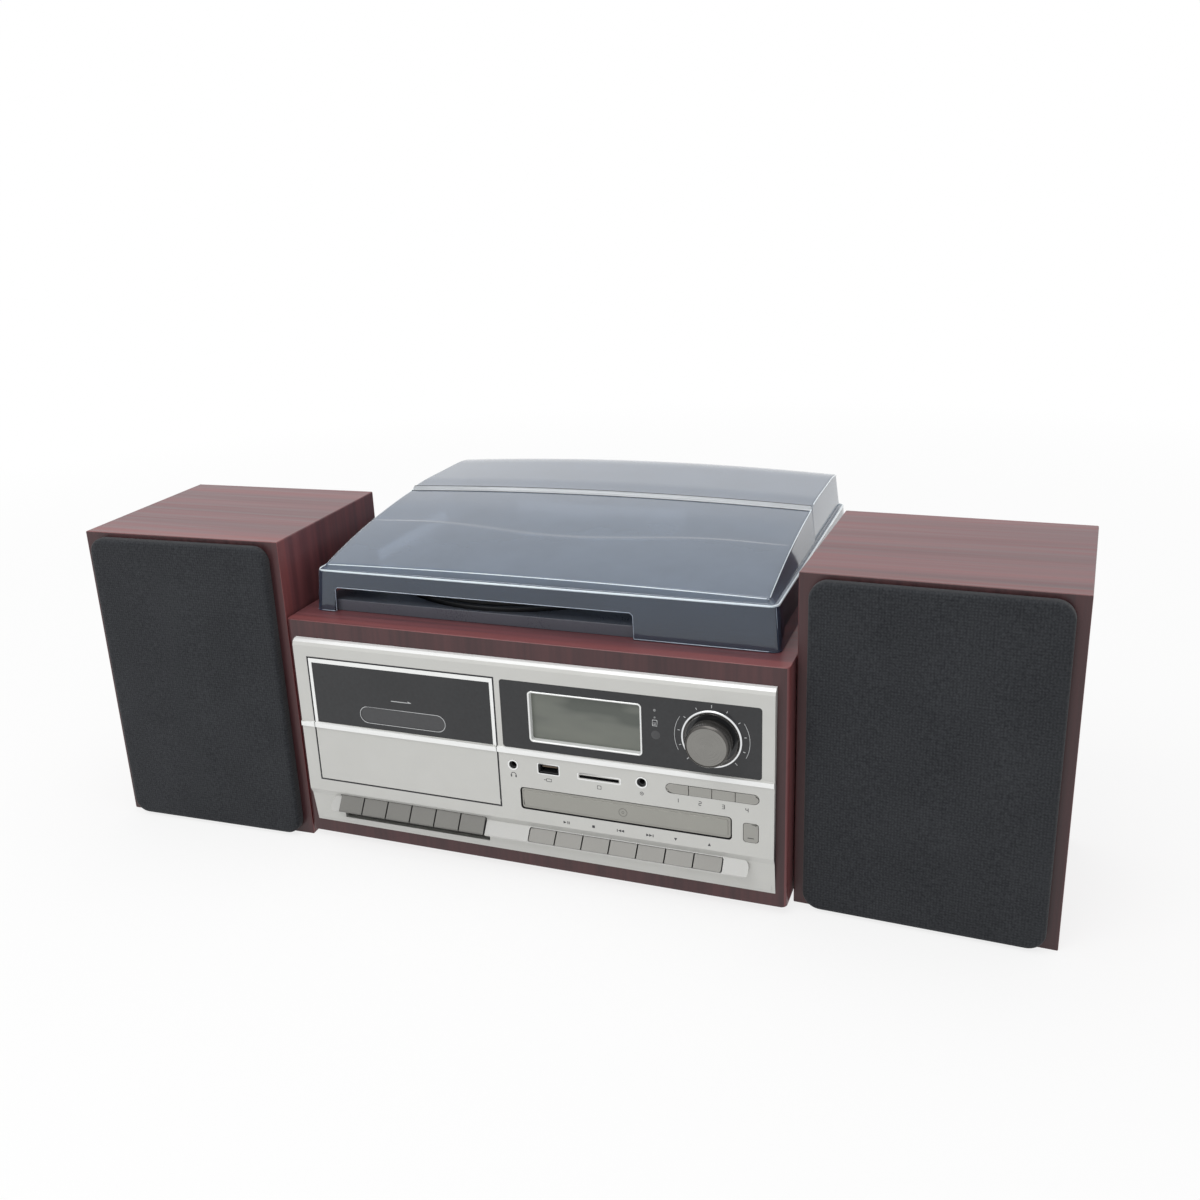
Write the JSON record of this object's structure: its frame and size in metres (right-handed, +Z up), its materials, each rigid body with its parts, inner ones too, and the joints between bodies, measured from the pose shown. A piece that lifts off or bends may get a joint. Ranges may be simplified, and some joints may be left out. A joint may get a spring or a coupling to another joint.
{
  "type": "stereo music centre",
  "caption": "Compact music centre: record deck under a smoked hinged cover, cassette door, CD drawer and radio display in a wood-grain cabinet, with two grille-fronted loudspeakers.",
  "frame": {"origin": "centre of the bounding box at table level, under the middle of the cabinet", "axes": "+Z up; +X to the right seen from the front; the front with the knob faces -Y"},
  "size_m": [0.67, 0.3244, 0.2276],
  "materials": {
    "wood_vinyl": "satin red-brown veneer",
    "hardboard": "matt pressed board",
    "silver_plastic": "fine silver paint on moulded plastic",
    "silver_trim": "bright silver",
    "black_gloss": "polished dark acrylic",
    "lcd_glass": "reflective display",
    "chrome": "mirror",
    "aluminium": "spun brushed",
    "steel": "plain",
    "brass": "turned",
    "circuit_board": "lacquered board",
    "black_plastic": "fine texture",
    "grey_plastic": "moulded",
    "ivory_plastic": "moulded",
    "grey_key": "silver-grey keys",
    "smoked_acrylic": "smoked clear",
    "cloth": "stretched grille cloth on a frame",
    "cone_paper": "paper cone",
    "rubber": "matt"
  },
  "bodies": {
    "centre_unit": {"cabinet": "wood_vinyl", "rear_panel": "hardboard", "feet": "rubber", "front_fascia": "silver_plastic", "display_window": "black_gloss", "lcd_bezel": "silver_trim", "lcd_panel": "lcd_glass", "volume_ring": "chrome", "control_board": "circuit_board", "front_sockets": "black_plastic", "rear_sockets": "black_plastic", "main_board": "circuit_board", "turntable_deck": "black_plastic", "platter_motor": "steel", "cover_hinges": "black_plastic", "cassette_chassis": "grey_plastic", "cd_loader": "black_plastic"},
    "cover": {"dust_cover": "smoked_acrylic"},
    "platter_body": {"platter": "black_plastic", "platter_mat": "rubber"},
    "pulley_body": {"motor_pulley": "brass"},
    "gimbal_body": {"arm_gimbal": "steel"},
    "arm_body": {"tonearm": "aluminium"},
    "cue_body": {"cue_lever": "grey_key"},
    "speed_body": {"speed_switch": "grey_key"},
    "door_body": {"cassette_door": "silver_plastic", "cassette_window": "black_gloss"},
    "supply_body": {"supply_reel": "ivory_plastic"},
    "takeup_body": {"takeup_reel": "ivory_plastic"},
    "flywheel_body": {"flywheel": "steel"},
    "drawer_body": {"cd_drawer": "black_plastic", "drawer_front": "grey_key"},
    "hub_body": {"cd_hub": "black_plastic"},
    "eject_body": {"eject_button": "grey_key"},
    "knob_body": {"volume_knob": "aluminium"},
    "key_record_body": {"key_record": "grey_key"},
    "key_play_body": {"key_play": "grey_key"},
    "key_rewind_body": {"key_rewind": "grey_key"},
    "key_forward_body": {"key_forward": "grey_key"},
    "key_stop_body": {"key_stop": "grey_key"},
    "key_pause_body": {"key_pause": "grey_key"},
    "button_store_body": {"button_store": "grey_key"},
    "button_play_body": {"button_play": "grey_key"},
    "button_stop_body": {"button_stop": "grey_key"},
    "button_previous_body": {"button_previous": "grey_key"},
    "button_next_body": {"button_next": "grey_key"},
    "button_down_body": {"button_down": "grey_key"},
    "button_up_body": {"button_up": "grey_key"},
    "button_mode_body": {"button_mode": "grey_key"},
    "button_scan_body": {"button_scan": "grey_key"},
    "button_clock_body": {"button_clock": "grey_key"},
    "button_timer_body": {"button_timer": "grey_key"},
    "left_speaker": {"left_speaker_box": "wood_vinyl", "left_driver": "cone_paper", "left_terminal": "black_plastic"},
    "left_grille_body": {"left_grille": "cloth"},
    "right_speaker": {"right_speaker_box": "wood_vinyl", "right_driver": "cone_paper", "right_terminal": "black_plastic"},
    "right_grille_body": {"right_grille": "cloth"}
  },
  "joints": [
    {"name": "cover_lift", "type": "hinge", "parent": "centre_unit", "child": "cover", "pos_m": [0.001, 0.12575, 0.174], "axis": [-1, 0, 0], "range_deg": [0, 75]},
    {"name": "platter_turn", "type": "hinge", "parent": "centre_unit", "child": "platter_body", "pos_m": [-0.0385, -0.01425, 0.1715], "axis": [0, 0, -1], "continuous": true},
    {"name": "pulley_turn", "type": "hinge", "parent": "centre_unit", "child": "pulley_body", "pos_m": [-0.1005, 0.04775, 0.1715], "axis": [0, 0, -1], "continuous": true},
    {"name": "arm_swing", "type": "hinge", "parent": "centre_unit", "child": "gimbal_body", "pos_m": [0.118, 0.07525, 0.176], "axis": [0, 0, -1], "range_deg": [0, 44]},
    {"name": "arm_lift", "type": "hinge", "parent": "gimbal_body", "child": "arm_body", "pos_m": [0.118, 0.07525, 0.1885], "axis": [-1, 0, 0], "range_deg": [0, 1.2]},
    {"name": "cue_tip", "type": "hinge", "parent": "centre_unit", "child": "cue_body", "pos_m": [0.145, 0.03525, 0.178], "axis": [1, 0, 0], "range_deg": [0, 50]},
    {"name": "speed_slide", "type": "slide", "parent": "centre_unit", "child": "speed_body", "axis": [0, 1, 0], "range_m": [0, 0.015]},
    {"name": "door_open", "type": "hinge", "parent": "centre_unit", "child": "door_body", "pos_m": [-0.0858, -0.14795, 0.0553], "axis": [1, 0, 0], "range_deg": [0, 35]},
    {"name": "supply_turn", "type": "hinge", "parent": "centre_unit", "child": "supply_body", "pos_m": [-0.10705, -0.13875, 0.1058], "axis": [0, -1, 0], "continuous": true},
    {"name": "takeup_turn", "type": "hinge", "parent": "centre_unit", "child": "takeup_body", "pos_m": [-0.06455, -0.13875, 0.1058], "axis": [0, -1, 0], "continuous": true},
    {"name": "flywheel_turn", "type": "hinge", "parent": "centre_unit", "child": "flywheel_body", "pos_m": [-0.0508, -0.13875, 0.0788], "axis": [0, -1, 0], "continuous": true},
    {"name": "drawer_slide", "type": "slide", "parent": "centre_unit", "child": "drawer_body", "axis": [0, -1, 0], "range_m": [0, 0.125]},
    {"name": "hub_turn", "type": "hinge", "parent": "centre_unit", "child": "hub_body", "pos_m": [0.06865, -0.07665, 0.055], "axis": [0, 0, -1], "continuous": true},
    {"name": "eject_push", "type": "slide", "parent": "centre_unit", "child": "eject_body", "axis": [0, 1, 0], "range_m": [0, 0.0008], "stiffness_N_per_m": 200, "springref_m": -0.001},
    {"name": "volume_turn", "type": "hinge", "parent": "centre_unit", "child": "knob_body", "pos_m": [0.1271, -0.15575, 0.1196], "axis": [0, 1, 0], "continuous": true},
    {"name": "key_record_press", "type": "hinge", "parent": "centre_unit", "child": "key_record_body", "pos_m": [-0.13225, -0.11975, 0.0331], "axis": [1, 0, 0], "range_deg": [0, 7], "stiffness_Nm_per_rad": 0.05, "springref_deg": -5.73},
    {"name": "key_play_press", "type": "hinge", "parent": "centre_unit", "child": "key_play_body", "pos_m": [-0.11355, -0.11975, 0.0331], "axis": [1, 0, 0], "range_deg": [0, 7], "stiffness_Nm_per_rad": 0.05, "springref_deg": -5.73},
    {"name": "key_rewind_press", "type": "hinge", "parent": "centre_unit", "child": "key_rewind_body", "pos_m": [-0.09485, -0.11975, 0.0331], "axis": [1, 0, 0], "range_deg": [0, 7], "stiffness_Nm_per_rad": 0.05, "springref_deg": -5.73},
    {"name": "key_forward_press", "type": "hinge", "parent": "centre_unit", "child": "key_forward_body", "pos_m": [-0.07615, -0.11975, 0.0331], "axis": [1, 0, 0], "range_deg": [0, 7], "stiffness_Nm_per_rad": 0.05, "springref_deg": -5.73},
    {"name": "key_stop_press", "type": "hinge", "parent": "centre_unit", "child": "key_stop_body", "pos_m": [-0.05745, -0.11975, 0.0331], "axis": [1, 0, 0], "range_deg": [0, 7], "stiffness_Nm_per_rad": 0.05, "springref_deg": -5.73},
    {"name": "key_pause_press", "type": "hinge", "parent": "centre_unit", "child": "key_pause_body", "pos_m": [-0.03875, -0.11975, 0.0331], "axis": [1, 0, 0], "range_deg": [0, 7], "stiffness_Nm_per_rad": 0.05, "springref_deg": -5.73},
    {"name": "button_store_push", "type": "slide", "parent": "centre_unit", "child": "button_store_body", "axis": [0, 1, 0], "range_m": [0, 0.0012], "stiffness_N_per_m": 200, "springref_m": -0.001},
    {"name": "button_play_push", "type": "slide", "parent": "centre_unit", "child": "button_play_body", "axis": [0, 1, 0], "range_m": [0, 0.0012], "stiffness_N_per_m": 200, "springref_m": -0.001},
    {"name": "button_stop_push", "type": "slide", "parent": "centre_unit", "child": "button_stop_body", "axis": [0, 1, 0], "range_m": [0, 0.0012], "stiffness_N_per_m": 200, "springref_m": -0.001},
    {"name": "button_previous_push", "type": "slide", "parent": "centre_unit", "child": "button_previous_body", "axis": [0, 1, 0], "range_m": [0, 0.0012], "stiffness_N_per_m": 200, "springref_m": -0.001},
    {"name": "button_next_push", "type": "slide", "parent": "centre_unit", "child": "button_next_body", "axis": [0, 1, 0], "range_m": [0, 0.0012], "stiffness_N_per_m": 200, "springref_m": -0.001},
    {"name": "button_down_push", "type": "slide", "parent": "centre_unit", "child": "button_down_body", "axis": [0, 1, 0], "range_m": [0, 0.0012], "stiffness_N_per_m": 200, "springref_m": -0.001},
    {"name": "button_up_push", "type": "slide", "parent": "centre_unit", "child": "button_up_body", "axis": [0, 1, 0], "range_m": [0, 0.0012], "stiffness_N_per_m": 200, "springref_m": -0.001},
    {"name": "button_mode_push", "type": "slide", "parent": "centre_unit", "child": "button_mode_body", "axis": [0, 1, 0], "range_m": [0, 0.0008], "stiffness_N_per_m": 200, "springref_m": -0.001},
    {"name": "button_scan_push", "type": "slide", "parent": "centre_unit", "child": "button_scan_body", "axis": [0, 1, 0], "range_m": [0, 0.0008], "stiffness_N_per_m": 200, "springref_m": -0.001},
    {"name": "button_clock_push", "type": "slide", "parent": "centre_unit", "child": "button_clock_body", "axis": [0, 1, 0], "range_m": [0, 0.0008], "stiffness_N_per_m": 200, "springref_m": -0.001},
    {"name": "button_timer_push", "type": "slide", "parent": "centre_unit", "child": "button_timer_body", "axis": [0, 1, 0], "range_m": [0, 0.0008], "stiffness_N_per_m": 200, "springref_m": -0.001},
    {"name": "left_speaker_move", "type": "slide", "parent": "centre_unit", "child": "left_speaker", "axis": [-1, 0, 0], "range_m": [0, 0.3]},
    {"name": "right_speaker_move", "type": "slide", "parent": "centre_unit", "child": "right_speaker", "axis": [1, 0, 0], "range_m": [0, 0.3]},
    {"name": "left_grille_pull", "type": "slide", "parent": "left_speaker", "child": "left_grille_body", "axis": [0.0349, -0.9994, 0], "range_m": [0, 0.03]},
    {"name": "right_grille_pull", "type": "slide", "parent": "right_speaker", "child": "right_grille_body", "axis": [-0.0349, -0.9994, 0], "range_m": [0, 0.03]}
  ],
  "couplings": [
    {"joint": "pulley_turn", "follows": "platter_turn", "ratio": 15.65}
  ]
}
